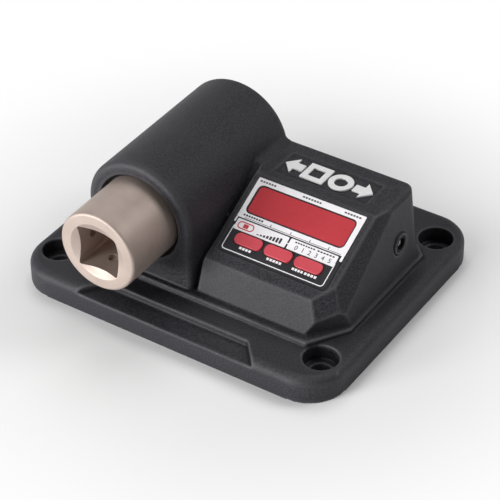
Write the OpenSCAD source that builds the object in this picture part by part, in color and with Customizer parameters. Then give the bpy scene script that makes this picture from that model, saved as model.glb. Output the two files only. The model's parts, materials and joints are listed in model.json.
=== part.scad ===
// Bench torque tester. The origin is the middle of the underside, the square drive faces -Y
// and +Z is up. Lengths are in millimetres.

/* [Base] */
// Width of the base flange
base_w = 155; // [153:1:170]
// Depth of the base flange
base_d = 128; // [127:1:140]
// Height of the base flange
base_h = 12; // [11:0.5:15]
// Radius of the flange's corners in plan
base_corner_r = 17.5; // [14:0.5:20]
// Radius that rounds the flange's top edge
base_edge_r = 3.7; // [1:0.1:5]
// Distance of the bench bolts from the flange's sides
bolt_side_in = 11.8; // [10.8:0.1:12.6]
// Distance of the bench bolts from the flange's front and rear
bolt_end_in = 17.4; // [16.6:0.1:18]
// Diameter of the bench bolt holes
bolt_hole_d = 9; // [6:0.5:10]
// Diameter of the counterbores for the bench bolts' heads
bolt_head_d = 15; // [12:0.5:16]
// Depth of those counterbores
bolt_head_depth = 7; // [4:0.5:8]
// Height of the plinth above the flange
plinth_rise = 2.4; // [1.5:0.1:3]
// Depth of the hand clearance pocket in the flange's front
pocket_depth = 3; // [1:0.5:5]
// Width of that pocket at its back wall
pocket_back_w = 70.4; // [50:1:76]
// Width of that pocket where it opens at the front
pocket_front_w = 88; // [80:1:100]
// Distance of the pocket's back wall from the flange's front edge
pocket_run = 10.1; // [6:0.5:14]

/* [Barrel] */
// Outer radius of the barrel that holds the torque sensor
barrel_r = 25.7; // [25:0.1:27]
// Distance of the barrel's axis to the left of the middle
barrel_left = 26; // [25.6:0.1:27]
// Height of the sensor's axis over the bench
axis_h = 42.4; // [41:0.2:45]
// Distance of the barrel's front face from the middle
barrel_front = 42.3; // [41:0.1:44]
// Length of the barrel
barrel_len = 75.8; // [74:0.2:78]
// Radius of the barrel's rounded rims
barrel_rim_r = 2.6; // [1:0.1:4]
// Radius of the bore for the sensor
bore_r = 19.8; // [19.4:0.1:21]
// Thickness of the barrel's closed rear wall
rear_wall = 13.5; // [11:0.5:16]

/* [Console] */
// Height of the level top of the console over the bench
console_h = 48.3; // [47:0.1:51]
// Slope of the display panel
panel_angle = 27; // [24:0.5:30]
// Distance of the crease between top and panel behind the middle
crease_back = 3.6; // [3:0.1:5]
// Distance of the panel's lower edge in front of the middle
panel_reach = 35.4; // [35:0.1:37]
// Distance of the console's front foot in front of the middle
foot_reach = 40.7; // [39:0.1:42]
// Distance of the console's rear wall behind the middle
console_back = 31.2; // [30:0.1:33]
// Distance of the console's right wall from the middle at its foot
console_right = 66.9; // [66:0.1:68]
// Draft of the console's right wall
wall_draft = 6; // [2:0.5:8]
// Wall of the casting round the electronics
shell_wall = 3; // [2.4:0.1:3.4]
// Distance of the panel's right edge from the middle
panel_right = 60.3; // [59.6:0.1:61]
// Radius of the console's rear right corner
console_corner_r = 5; // [3.5:0.5:7]

/* [Square drive] */
// Width across the flats of the square drive
square_w = 19.05; // [12.7:0.05:19.05]
// Depth of the square hole
square_depth = 26; // [20:0.5:30]
// Radius of the sensor's drive end
drive_r = 18.25; // [17.5:0.05:18.6]
// Distance of the drive end's face in front of the middle
drive_reach = 70.5; // [66:0.5:74]
// Radius of the sensor's torsion neck
neck_r = 11; // [9.5:0.5:12.5]
// Length of the sensor's rear flange
sensor_flange_len = 12; // [10:0.5:14]

/* [Display panel] */
// Width of the printed film
film_w = 52.2; // [51.5:0.1:52.8]
// Length of the printed film down the slope
film_len = 36.4; // [36:0.1:37]
// Distance of the film's upper edge below the crease
film_drop = 1.5; // [1.2:0.1:2]
// Width of the display window
window_w = 46.6; // [44:0.2:47]
// Height of the display window down the slope
window_len = 13; // [11:0.2:13.2]
// Width of a key
key_w = 13; // [10:0.2:13]
// Height of a key down the slope
key_len = 5.2; // [4.6:0.1:5.4]
// Distance between neighbouring keys
key_pitch = 14.5; // [14.2:0.1:14.8]
// Travel of a key
key_travel = 0.6; // [0.2:0.1:0.7]

/* [Hidden] */
$fn = 64;

// Overrun of every cut past the face that it opens
over = 1;
// Overlap of pieces of one casting
melt = 0.5;
// Gap between parts that fit together by hand
fit_gap = 0.1;
// Gap round a screw or pin in its own hole
screw_gap = 0.05;
// Gap round a key in the film and in the casting
key_gap = 0.3;
// A block larger than the whole tester, for cutting along planes
big = 3 * base_w;

function unit(v) = v / norm(v);
function plane_through(a, b, c) = unit(cross(b - a, c - a));

// Heights and places that the driving sizes set
bolt_span_x = base_w - 2 * bolt_side_in;
bolt_span_y = base_d - 2 * bolt_end_in;
plinth_h = base_h + plinth_rise;
barrel_x = -barrel_left;
barrel_rear = barrel_len - barrel_front;
flank_x = barrel_x + barrel_r;
crease = [0, crease_back, console_h];
panel_run = crease_back + panel_reach;
panel_foot_h = console_h - panel_run * tan(panel_angle);
panel_len = panel_run / cos(panel_angle);

// Bevel between the panel and the right wall: how far out and how far down it goes
bevel_run = 4.6;
bevel_drop = 8.3;
// How far the two facets cut into the console's front right corner: at the panel's lower edge,
// at its right edge, where they meet on the front, and at the foot on the front and on the right
corner_top_in = 6.6;
corner_side_in = 8.1;
corner_mid_in = 3.1;
corner_mid_rise = 6;
corner_foot_in = 12.9;
corner_back_in = 15.1;
corner_side_reach = panel_reach - corner_side_in;
// Valley between the barrel's flank and the console, on the panel and on the front
valley_w = 2.2;
valley_front_w = 1.9;
valley_depth = 3;
// Fillet between the barrel's flank and the console's level top. It bites a little into both.
fillet_r = 6;
fillet_bite = 0.05;
fillet_h = console_h + fillet_r - fillet_bite;
fillet_reach = barrel_r + fillet_r - fillet_bite;
fillet_x = barrel_x + sqrt(pow(fillet_reach, 2) - pow(fillet_h - axis_h, 2));
fillet_top = axis_h + (fillet_h - axis_h) * barrel_r / fillet_reach;
valley_run_out = (valley_depth + fillet_r) / sin(panel_angle);
// How far the soft right edge of the level top is drawn in
top_soft = 1.6;
top_right = console_right - (console_h - plinth_h) * tan(wall_draft);

corner_top = [panel_right - corner_top_in, -panel_reach, panel_foot_h];
corner_side = [panel_right, -corner_side_reach,
               console_h - (crease_back + corner_side_reach) * tan(panel_angle)];
front_lean = (foot_reach - panel_reach) / (panel_foot_h - plinth_h);
corner_mid = [panel_right - corner_mid_in, -foot_reach + corner_mid_rise * front_lean,
              plinth_h + corner_mid_rise];
corner_foot = [console_right - corner_foot_in, -foot_reach, plinth_h];
corner_back = [console_right, -foot_reach + corner_back_in, plinth_h];
bevel_start = [panel_right, crease_back, console_h];
slope_down = [0, -cos(panel_angle), -sin(panel_angle)];
bevel_down = [bevel_run, 0, -bevel_drop];

// Each plane of the console as a point on it and its outward direction
CONSOLE_PLANES = [
    [crease, [0, -sin(panel_angle), cos(panel_angle)]],
    [corner_foot, unit([0, -1, front_lean])],
    [corner_back, [cos(wall_draft), 0, sin(wall_draft)]],
    [bevel_start, unit(cross(slope_down, bevel_down))],
    [[top_right - top_soft, 0, console_h], unit([1, 0, 1])],
    [corner_top, -plane_through(corner_top, corner_side, corner_mid)],
    [corner_foot, -plane_through(corner_foot, corner_mid, corner_back)]
];

// Plinth round the barrel and the console
plinth_front_margin = 4.2;
plinth_right_margin = 1.4;
plinth_left_margin = 1.6;
plinth_back_margin = 2.5;
plinth_front = foot_reach + plinth_front_margin;
plinth_right = console_right + plinth_right_margin;
plinth_left = barrel_left + barrel_r + plinth_left_margin;
plinth_back = barrel_rear + plinth_back_margin;
plinth_cut_margin_x = 3.3;
plinth_cut_margin_y = 1.9;
plinth_cut_x = corner_foot.x + plinth_cut_margin_x;
plinth_cut_reach = -corner_back.y + plinth_cut_margin_y;
plinth_small_cut = 5;

// Shallow recess in the console's top
recess_in = 8.3;
recess_w = 44;
recess_from_crease = 5.6;
recess_len = 14.4;
recess_depth = 0.8;
recess_left = flank_x + recess_in;
recess_front = crease_back + recess_from_crease;

// Hollow for the electronics and the cored space under the barrel
partition_t = 4.2;
core_wall_left = 5.7;
core_wall_right = 3.6;
cavity_left = flank_x + partition_t;
core_left = barrel_x - barrel_r + core_wall_left;
core_right = flank_x - core_wall_right;
core_roof = 7;
core_rib_t = 3;
core_ribs = 2;

// Bottom cover and its screws
cover_t = 2;
cover_sink = 0.2;
cover_side = 0.4;
cover_lap = 1;
cover_left = barrel_x - barrel_r;
cover_right = console_right + cover_lap;
cover_front = -foot_reach - cover_lap;
cover_back = console_back + cover_lap;
cover_screw_in = 3.2;
cover_screw_r = 1.45;
cover_head_r = 2.8;
cover_screw_len = 9;
boss_r = 3.6;
cross_w = 0.8;
cross_len = 3.2;
cross_depth = 0.9;
boss_in = shell_wall + boss_r - melt;
cover_mid_x = (core_right + cavity_left) / 2;
cover_screws = [
    [cover_left + cover_screw_in, cover_front + cover_screw_in],
    [cover_left + cover_screw_in, cover_back - cover_screw_in],
    [cover_mid_x, cover_front + cover_screw_in],
    [cover_mid_x, cover_back - cover_screw_in],
    [console_right - boss_in, console_back - boss_in],
    [corner_foot.x - shell_wall, -foot_reach + boss_in]
];

// Sensor seat and its fixings
sensor_seat = barrel_rear - rear_wall;
sensor_len = drive_reach + sensor_seat;
sensor_flange_gap = 0.4;
drive_len = 43.5;
drive_rim_r = 1.2;
mouth_r = 13.2;
mouth_slope = 25;
mouth_depth = (mouth_r - square_w / 2) * tan(mouth_slope);
square_corner_r = 1.2;
detent_r = 2.3;
detent_depth = 2;
detent_in = 10.4;
sensor_bore_r = 5;
neck_cone = 3;
neck_flat = 10.3;
neck_flat_len = 16;
fixing_circle_r = 14;
fixings = 4;
bolt_r = 3;
bolt_cap_r = 5;
bolt_cap_h = 6;
bolt_sink_r = 5.6;
bolt_sink_depth = 6.6;
bolt_grip = 9.5;
hex_key_r = 2.9;
hex_key_depth = 3;
dowel_r = 3;
dowel_in_wall = 9;
dowel_in_flange = 8;
neck_mid = sensor_flange_len + (sensor_len - drive_len - sensor_flange_len) / 2;

// Bush and seal in the barrel's mouth
seal_in = 2.6;
seal_len = 3.4;
bush_in = 6.5;
bush_len = 8;

// Strain gauges on the neck's flats
gauge_w = 5;
gauge_len = 9;
gauge_t = 0.25;

// Film, window and keys on the panel: across from the middle and down from the crease
film_in = 5.2;
film_x = flank_x + film_in + film_w / 2;
film_t = 0.5;
film_sink = 0.4;
film_corner_r = 1.6;
film_gap = 0.2;
window_in = 3.5;
window_drop = film_drop + window_in;
window_corner_r = 2;
window_lip = 1.2;
window_t = 1.3;
window_seat = 0.05;
key_off_middle = 0.4;
key_in = 28.8;
key_x = film_x - key_off_middle;
key_drop = film_drop + key_in;
key_corner_r = 2.2;
key_rise = 0.8;
key_collar = 0.8;
key_collar_t = 1;
key_collar_drop = 0.6;
key_stem_r = 1.6;
plunger_h = 4.5;
switch_w = 6;
switch_h = 3.5;
plunger_r = 1.75;
plunger_in = 0.5;
plunger_clear = 0.1;
switch_well = plunger_in + key_travel + film_gap;

// Circuit board behind the panel
board_depth = 9.5;
board_t = 1.6;
board_in = 5.8;
board_left = flank_x + board_in;
board_w = 52;
board_up = 2;
board_len = 42.2;
post_r = 2.6;
post_in = 3;
board_screw_r = 1.2;
board_screw_len = 5;
board_head_r = 2.3;
board_head_h = 1.6;
display_w = 45.6;
display_len = 13.4;
display_h = 6.3;
chip_w = 10;
chip_t = 1.4;
small_chip_w = 6;
small_chip_len = 5;
can_r = 3.5;
can_h = 7;
header_w = 6;
header_h = 4.5;
harness_header_in = 13.5;
supply_header_in = 34.5;
harness_header_x = board_left + harness_header_in;
supply_header_x = board_left + supply_header_in;
header_drop = 5;
board_under = board_depth + board_t;

// Supply jack in the right wall
jack_from_back = 15.3;
jack_rise = 14.4;
jack_back = console_back - jack_from_back;
jack_h = plinth_h + jack_rise;
jack_face = console_right - (jack_h - plinth_h) * tan(wall_draft);
jack_spot_r = 5.3;
jack_spot_depth = 1;
jack_bush_r = 3.9;
jack_nut_r = 4.8;
jack_nut_t = 1.4;
jack_collar_r = 5.5;
jack_collar_t = 1.4;
jack_box_w = 9;
jack_box_len = 9.5;
jack_hole_r = 2.8;
jack_hole_len = 9.5;
jack_pin_r = 1.25;
jack_pin_len = 8.5;
jack_pad_r = 6.6;
jack_wall = 3.8;
jack_proud = 0.4;
jack_pad_x = jack_face - jack_wall;
jack_out = jack_face + jack_proud;

// Harness from the gauges to the board, through the wall between barrel and console
harness_r = 1.1;
harness_from_crease = 0.6;
harness_below_axis = 12.4;
harness_back = crease_back - harness_from_crease;
harness_h = axis_h - harness_below_axis;
grommet_hole_r = 3.2;
grommet_r = 3.1;
grommet_bore_r = 1.25;
grommet_collar_r = 4.6;
grommet_collar_t = 1.2;
grommet_reach = 3.4;
grommet_start = barrel_x + bore_r - grommet_reach;
supply_lead_r = 0.9;
harness_route = [
    [-15.3, -9.5, 42.4], [-12.8, -9.2, 42], [-11, -7.4, 39.8], [-10.8, -4.6, 36.4],
    [-11.8, -1.6, 33.2], [-11.6, 1.2, 31], [-9.4, 2.7, 30.1], [-6.6, 3, 30],
    [0, 3, 30], [5, 3, 30], [8, 3.2, 30.4], [11, 4.1, 32.4], [13.6, 5, 34], [16, 5.1, 34.4]
];
supply_route = [
    [50.4, 15.9, 28.8], [48.4, 15.9, 28.9], [45.8, 15.6, 30.2], [43.2, 15, 32.8],
    [41.2, 13.6, 36], [40.3, 11.8, 37.6], [40, 9.7, 36.8]
];

// Everything on the outer side of a plane
module beyond(point, direction) {
    translate(point)
        rotate([0, acos(direction.z), atan2(direction.y, direction.x)])
            translate([-big / 2, -big / 2, 0])
                cube(big);
}

module rounded_rect(w, d, r) {
    square([w - 2 * r, d], center = true);
    square([w, d - 2 * r], center = true);
    for (x = [-1, 1], y = [-1, 1])
        translate([x * (w / 2 - r), y * (d / 2 - r)])
            circle(r);
}

// Upright section with the given half width and height and a rounded upper outer edge
module soft_edge(half_w, h, r) {
    square([half_w, h - r]);
    square([half_w - r, h]);
    translate([half_w - r, h - r])
        circle(r);
}

// A length along Y of the plate's middle, with a rounded upper edge on both sides
module soft_bar(w, len, h, r) {
    translate([0, len / 2, 0])
        rotate([90, 0, 0])
            linear_extrude(len) {
                soft_edge(w / 2, h, r);
                mirror([1, 0])
                    soft_edge(w / 2, h, r);
            }
}

// A plate with round corners and a rounded top edge
module soft_plate(w, d, h, corner_r, edge_r) {
    soft_bar(w, d - 2 * corner_r, h, edge_r);
    rotate(90)
        soft_bar(d, w - 2 * corner_r, h, edge_r);
    for (side = [0, 1], turn = [0, 180])
        rotate(turn)
            mirror([side, 0])
                translate([w / 2 - corner_r, d / 2 - corner_r, 0])
                    rotate_extrude(angle = 90)
                        soft_edge(corner_r, h, edge_r);
}

// Places what follows on the display panel: x across, y up the slope, z out of the panel
module on_panel() {
    translate(crease)
        rotate([panel_angle, 0, 0])
            children();
}

// Places what follows on the sensor's axis, z towards the square drive
module on_axis(reach) {
    translate([barrel_x, -reach, axis_h])
        rotate([90, 0, 0])
            children();
}

// The four bench bolts' places
module at_bench_bolts() {
    for (x = [-1, 1], y = [-1, 1])
        translate([x * bolt_span_x / 2, y * bolt_span_y / 2, 0])
            children();
}

module plinth() {
    linear_extrude(plinth_h)
        polygon([
            [-plinth_left, -plinth_front + plinth_small_cut],
            [-plinth_left + plinth_small_cut, -plinth_front],
            [plinth_cut_x, -plinth_front],
            [plinth_right, -plinth_cut_reach],
            [plinth_right, plinth_back - plinth_small_cut],
            [plinth_right - plinth_small_cut, plinth_back],
            [-plinth_left + plinth_small_cut, plinth_back],
            [-plinth_left, plinth_back - plinth_small_cut]
        ]);
}

// Cross-section of the barrel: round above its axis, straight flanks below
module arch(r) {
    circle(r);
    translate([-r, base_h - axis_h])
        square([2 * r, axis_h - base_h]);
}

module barrel() {
    on_axis(-barrel_rear) {
        translate([0, 0, barrel_rim_r])
            linear_extrude(barrel_len - 2 * barrel_rim_r)
                arch(barrel_r);
        linear_extrude(barrel_len)
            arch(barrel_r - barrel_rim_r);
        for (z = [barrel_rim_r, barrel_len - barrel_rim_r])
            translate([0, 0, z]) {
                rotate_extrude()
                    translate([barrel_r - barrel_rim_r, 0])
                        circle(barrel_rim_r);
                for (x = [-1, 1])
                    translate([x * (barrel_r - barrel_rim_r), base_h - axis_h, 0])
                        rotate([-90, 0, 0])
                            cylinder(r = barrel_rim_r, h = axis_h - base_h);
            }
    }
}

// The console's solid form, drawn in by a wall's thickness where inset is not zero
module console_form(inset, left, floor_h) {
    difference() {
        translate([left, -foot_reach - over, floor_h])
            cube([
                console_right + over - left,
                foot_reach + over + console_back - inset,
                console_h - inset - floor_h
            ]);
        for (plane = CONSOLE_PLANES)
            beyond(plane[0] - inset * plane[1], plane[1]);
        translate([console_right, console_back, plinth_h])
            rotate([0, -wall_draft, 0])
                translate([-console_corner_r, -console_corner_r, -console_h])
                    difference() {
                        cube([big, big, big]);
                        cylinder(r = console_corner_r - inset, h = big);
                    }
    }
}

// Section of the valley: depth down from the surface that it cuts, open to a height above it
module valley_section(w, top) {
    polygon([
        [w / 2 - (top + valley_depth) * w / valley_depth, top],
        [w + top * w / valley_depth / 2, top],
        [w / 2, -valley_depth]
    ]);
}

// Valley between the barrel's flank and the console, along the panel and down its front. It
// runs out over the level top and takes the fillet's front end with it.
module valley() {
    on_panel()
        translate([flank_x, valley_run_out, 0])
            rotate([90, 0, 0])
                linear_extrude(valley_run_out + panel_len + 3 * valley_depth)
                    valley_section(valley_w, fillet_r);
    translate([flank_x, -foot_reach, plinth_h])
        rotate([90 - atan(front_lean), 0, 0])
            rotate([-90, 0, 0])
                linear_extrude(big)
                    mirror([0, 1])
                        valley_section(valley_front_w, over);
}

module top_fillet() {
    difference() {
        translate([flank_x - fillet_r, crease_back, console_h - melt])
            cube([
                fillet_x - flank_x + fillet_r,
                console_back - crease_back,
                fillet_top - console_h + melt
            ]);
        translate([fillet_x, crease_back - over, fillet_h])
            rotate([-90, 0, 0])
                cylinder(r = fillet_r, h = console_back - crease_back + 2 * over);
    }
}

// The vertical side that the electronics hollow has below the plinth's top
module cavity_foot() {
    chamfer = unit([corner_back.y - corner_foot.y, corner_foot.x - corner_back.x, 0]);
    difference() {
        translate([cavity_left, -foot_reach + shell_wall, -over])
            cube([
                console_right - shell_wall - cavity_left,
                foot_reach + console_back - 2 * shell_wall,
                plinth_h + 2 * over
            ]);
        beyond(corner_foot - shell_wall * chamfer, chamfer);
    }
}

module cavity() {
    difference() {
        union() {
            console_form(shell_wall, cavity_left, plinth_h);
            cavity_foot();
        }
        for (i = [4, 5])
            translate([cover_screws[i].x, cover_screws[i].y, 0])
                cylinder(r = boss_r, h = plinth_h + cover_t);
        on_panel()
            at_posts()
                translate([0, 0, -board_depth])
                    cylinder(r = post_r, h = board_depth);
        translate([jack_pad_x, jack_back, jack_h])
            rotate([0, 90, 0])
                cylinder(r = jack_pad_r, h = shell_wall + over);
    }
}

// Cored space under the barrel, with ribs across it
module core() {
    difference() {
        translate([core_left, cover_front + 2 * cover_screw_in, -over])
            cube([
                core_right - core_left,
                cover_back - cover_front - 4 * cover_screw_in,
                axis_h - bore_r - core_roof + over
            ]);
        for (i = [1 : core_ribs])
            translate([
                core_left - over,
                cover_front + (cover_back - cover_front) * i / (core_ribs + 1) - core_rib_t / 2,
                cover_t + cover_sink
            ])
                cube([core_right - core_left + 2 * over, core_rib_t, axis_h]);
    }
}

module cover_outline(inset) {
    outward = unit([corner_back.y - corner_foot.y, corner_foot.x - corner_back.x]);
    difference() {
        translate([cover_left + inset, cover_front + inset])
            square([
                cover_right - cover_left - 2 * inset,
                cover_back - cover_front - 2 * inset
            ]);
        translate([corner_foot.x, corner_foot.y])
            rotate(atan2(outward.y, outward.x))
                translate([cover_right - console_right - inset, -big / 2])
                    square(big);
    }
}

module at_cover_screws() {
    for (p = cover_screws)
        translate([p.x, p.y, 0])
            children();
}

module at_posts() {
    for (x = [board_left + post_in, board_left + board_w - post_in],
         y = [board_up - post_in, board_up - board_len + post_in])
        translate([x, y, 0])
            children();
}

module at_fixings(turn) {
    for (i = [0 : fixings - 1])
        rotate(turn + i * 360 / fixings)
            translate([fixing_circle_r, 0, 0])
                children();
}

module pocket() {
    translate([0, -base_d / 2, base_h - pocket_depth])
        linear_extrude(pocket_depth + over)
            polygon([
                [-pocket_back_w / 2, pocket_run],
                [pocket_back_w / 2, pocket_run],
                [pocket_front_w / 2, 0],
                [pocket_front_w / 2, -over],
                [-pocket_front_w / 2, -over],
                [-pocket_front_w / 2, 0]
            ]);
}

// Openings and seats in the panel's wall
module panel_cuts() {
    on_panel() {
        at_film()
            translate([0, 0, -film_sink])
                linear_extrude(over + film_sink)
                    rounded_rect(film_w + 2 * film_gap, film_len + 2 * film_gap, film_corner_r);
        at_window()
            translate([0, 0, -board_depth / 2])
                linear_extrude(board_depth / 2 + over)
                    square([
                        window_w + 2 * (window_lip + fit_gap),
                        window_len + 2 * (window_lip + fit_gap)
                    ], center = true);
        for (i = [-1 : 1])
            at_key(i)
                translate([0, 0, -board_depth / 2])
                    linear_extrude(board_depth / 2 + over)
                        rounded_rect(
                            key_w + 2 * key_gap,
                            key_len + 2 * (key_collar + key_gap),
                            key_corner_r + key_gap
                        );
    }
}

module housing() {
    color([0.2, 0.2, 0.22])
        difference() {
            union() {
                soft_plate(base_w, base_d, base_h, base_corner_r, base_edge_r);
                plinth();
                barrel();
                difference() {
                    union() {
                        console_form(0, flank_x - shell_wall, base_h);
                        top_fillet();
                    }
                    valley();
                }
            }
            at_bench_bolts() {
                translate([0, 0, -over])
                    cylinder(d = bolt_hole_d, h = base_h + 2 * over);
                translate([0, 0, base_h - bolt_head_depth])
                    cylinder(d = bolt_head_d, h = bolt_head_depth + over);
            }
            pocket();
            cavity();
            core();
            panel_cuts();
            translate([0, 0, -over])
                linear_extrude(over + cover_t + cover_sink)
                    cover_outline(0);
            at_cover_screws()
                cylinder(r = cover_screw_r + screw_gap, h = cover_t + cover_screw_len);
            on_panel()
                at_posts()
                    translate([0, 0, -board_depth - over])
                        cylinder(r = board_screw_r + screw_gap, h = over + board_screw_len);
            translate([recess_left, recess_front, console_h - recess_depth])
                cube([recess_w, recess_len, recess_depth + over]);
            on_axis(-sensor_seat)
                cylinder(r = bore_r, h = sensor_seat + barrel_front + over);
            on_axis(-barrel_rear) {
                at_fixings(45) {
                    translate([0, 0, -over])
                        cylinder(r = bolt_r + fit_gap, h = rear_wall + 2 * over);
                    translate([0, 0, -over])
                        cylinder(r = bolt_sink_r, h = bolt_sink_depth + over);
                }
                at_fixings(0)
                    translate([0, 0, rear_wall - dowel_in_wall])
                        cylinder(r = dowel_r + screw_gap, h = dowel_in_wall + over);
            }
            translate([barrel_x, harness_back, harness_h])
                rotate([0, 90, 0])
                    cylinder(r = grommet_hole_r, h = cavity_left + over - barrel_x);
            translate([jack_face - jack_spot_depth, jack_back, jack_h])
                rotate([0, 90, 0])
                    cylinder(r = jack_spot_r, h = over + jack_spot_depth);
            translate([jack_pad_x - over, jack_back, jack_h])
                rotate([0, 90, 0])
                    cylinder(r = jack_bush_r + fit_gap, h = shell_wall + 2 * over);
        }
}

module bottom_cover() {
    color([0.62, 0.63, 0.65])
        difference() {
            translate([0, 0, cover_sink])
                linear_extrude(cover_t)
                    cover_outline(cover_side);
            at_cover_screws() {
                translate([0, 0, -over])
                    cylinder(r = cover_screw_r + screw_gap, h = cover_t + 2 * over);
                translate([0, 0, cover_sink - screw_gap])
                    cylinder(r1 = cover_head_r + screw_gap, r2 = cover_screw_r + screw_gap,
                             h = cover_head_r - cover_screw_r);
            }
        }
}

module bottom_cover_screws() {
    color([0.75, 0.75, 0.78])
        at_cover_screws()
            translate([0, 0, cover_sink])
                difference() {
                    union() {
                        cylinder(r1 = cover_head_r, r2 = cover_screw_r,
                                 h = cover_head_r - cover_screw_r);
                        cylinder(r = cover_screw_r, h = cover_screw_len);
                    }
                    for (turn = [0, 90])
                        rotate(turn)
                            translate([-cross_len / 2, -cross_w / 2, -over])
                                cube([cross_len, cross_w, cross_depth + over]);
                }
}

module torque_sensor() {
    drive_from = sensor_len - drive_len;
    color([0.8, 0.74, 0.7])
        on_axis(-sensor_seat)
            difference() {
                union() {
                    cylinder(r = bore_r - sensor_flange_gap, h = sensor_flange_len);
                    translate([0, 0, sensor_flange_len])
                        cylinder(r1 = neck_r + neck_cone, r2 = neck_r, h = neck_cone);
                    cylinder(r = neck_r, h = drive_from + melt);
                    translate([0, 0, drive_from - neck_cone])
                        cylinder(r1 = neck_r, r2 = neck_r + neck_cone, h = neck_cone);
                    translate([0, 0, drive_from])
                        cylinder(r = drive_r, h = drive_len - drive_rim_r);
                    cylinder(r = drive_r - drive_rim_r, h = sensor_len);
                    translate([0, 0, sensor_len - drive_rim_r])
                        rotate_extrude()
                            translate([drive_r - drive_rim_r, 0])
                                circle(drive_rim_r);
                }
                translate([0, 0, sensor_flange_len + neck_cone])
                    difference() {
                        cylinder(r = bore_r, h = drive_from - sensor_flange_len - 2 * neck_cone);
                        translate([0, 0, -over])
                            cylinder(r = neck_r, h = sensor_len);
                    }
                for (turn = [0 : 90 : 270])
                    rotate(turn)
                        translate([neck_flat, -neck_r, neck_mid - neck_flat_len / 2])
                            cube([neck_r, 2 * neck_r, neck_flat_len]);
                translate([0, 0, -over])
                    cylinder(r = sensor_bore_r, h = sensor_len);
                translate([0, 0, sensor_len - square_depth])
                    linear_extrude(square_depth + over)
                        rounded_rect(square_w, square_w, square_corner_r);
                translate([0, 0, sensor_len - mouth_depth])
                    cylinder(r1 = square_w / 2, r2 = mouth_r + over / tan(mouth_slope),
                             h = mouth_depth + over);
                for (turn = [0, 90])
                    rotate(turn)
                        translate([-square_w / 2 - detent_depth, 0, sensor_len - detent_in])
                            rotate([0, 90, 0])
                                cylinder(r = detent_r, h = square_w + 2 * detent_depth);
                at_fixings(45)
                    translate([0, 0, -over])
                        cylinder(r = bolt_r, h = bolt_grip + 2 * over);
                at_fixings(0)
                    translate([0, 0, -over])
                        cylinder(r = dowel_r + screw_gap, h = dowel_in_flange + over);
            }
}

module sensor_bolts() {
    color([0.3, 0.3, 0.32])
        on_axis(-barrel_rear)
            at_fixings(45)
                translate([0, 0, bolt_sink_depth])
                    difference() {
                        union() {
                            translate([0, 0, -bolt_cap_h])
                                cylinder(r = bolt_cap_r, h = bolt_cap_h);
                            cylinder(r = bolt_r - screw_gap,
                                     h = rear_wall - bolt_sink_depth + bolt_grip);
                        }
                        translate([0, 0, -bolt_cap_h - over])
                            cylinder(r = hex_key_r, h = hex_key_depth + over, $fn = 6);
                    }
}

module sensor_dowels() {
    color([0.7, 0.7, 0.72])
        on_axis(-sensor_seat)
            at_fixings(0)
                translate([0, 0, -dowel_in_wall + fit_gap])
                    cylinder(r = dowel_r, h = dowel_in_wall + dowel_in_flange - 2 * fit_gap);
}

// A ring between the drive end and the barrel's bore
module mouth_ring(from, length, waist) {
    on_axis(barrel_front - from - length)
        rotate_extrude()
            polygon([
                [drive_r + screw_gap, 0],
                [bore_r - screw_gap, 0],
                [bore_r - screw_gap, length],
                [(drive_r + bore_r) / 2, length - waist],
                [drive_r + screw_gap, length]
            ]);
}

module support_bush() {
    color([0.72, 0.55, 0.3])
        mouth_ring(bush_in, bush_len, 0);
}

module dust_seal() {
    color([0.08, 0.08, 0.08])
        mouth_ring(seal_in, seal_len, seal_len / 4);
}

module strain_gauges() {
    color([0.75, 0.5, 0.2])
        on_axis(-sensor_seat)
            for (turn = [0 : 90 : 270])
                rotate(turn)
                    translate([neck_flat, -gauge_w / 2, neck_mid - gauge_len / 2])
                        cube([gauge_t, gauge_w, gauge_len]);
}

// Smooth curve through a route's points
function curve_point(p, i, t) =
    let (
        a = p[max(i - 1, 0)],
        b = p[i],
        c = p[i + 1],
        d = p[min(i + 2, len(p) - 1)]
    )
    b + (c - a) * t / 2 + (a - 5 * b / 2 + 2 * c - d / 2) * t * t
      + (3 * (b - c) / 2 + (d - a) / 2) * t * t * t;
function curve(p, steps) = concat(
    [for (i = [0 : len(p) - 2], k = [0 : steps - 1]) curve_point(p, i, k / steps)],
    [p[len(p) - 1]]
);

// A round lead along a route, as one closed tube
module lead(route, r, sides = 8, steps = 3) {
    p = curve(route, steps);
    n = len(p);
    dirs = [for (i = [0 : n - 1]) unit(p[min(i + 1, n - 1)] - p[max(i - 1, 0)])];
    rings = [
        for (i = [0 : n - 1])
            let (u = unit(cross(dirs[i], [0.31, 0.52, 0.8])), v = cross(dirs[i], u))
                for (k = [0 : sides - 1])
                    p[i] + r * (cos(k * 360 / sides) * u + sin(k * 360 / sides) * v)
    ];
    walls = [
        for (i = [0 : n - 2], k = [0 : sides - 1])
            let (a = i * sides + k, b = i * sides + (k + 1) % sides)
                each [[a, a + sides, b + sides], [a, b + sides, b]]
    ];
    ends = [
        [for (k = [0 : sides - 1]) k],
        [for (k = [sides - 1 : -1 : 0]) (n - 1) * sides + k]
    ];
    polyhedron(rings, concat(walls, ends));
}

module gauge_harness() {
    color([0.15, 0.15, 0.16])
        lead(harness_route, harness_r);
}

module supply_leads() {
    color([0.7, 0.1, 0.1])
        lead(supply_route, supply_lead_r);
}

module harness_grommet() {
    color([0.1, 0.1, 0.1])
        translate([0, harness_back, harness_h])
            rotate([0, 90, 0])
                difference() {
                    union() {
                        translate([0, 0, grommet_start])
                            cylinder(r = grommet_r, h = cavity_left - grommet_start);
                        translate([0, 0, cavity_left])
                            cylinder(r = grommet_collar_r, h = grommet_collar_t);
                    }
                    translate([0, 0, grommet_start - over])
                        cylinder(r = grommet_bore_r, h = big);
                }
}

module at_film() {
    translate([film_x, -film_drop - film_len / 2, 0])
        children();
}

module at_window() {
    translate([film_x, -window_drop - window_len / 2, 0])
        children();
}

module at_key(i) {
    translate([key_x + i * key_pitch, -key_drop, 0])
        children();
}

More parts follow.
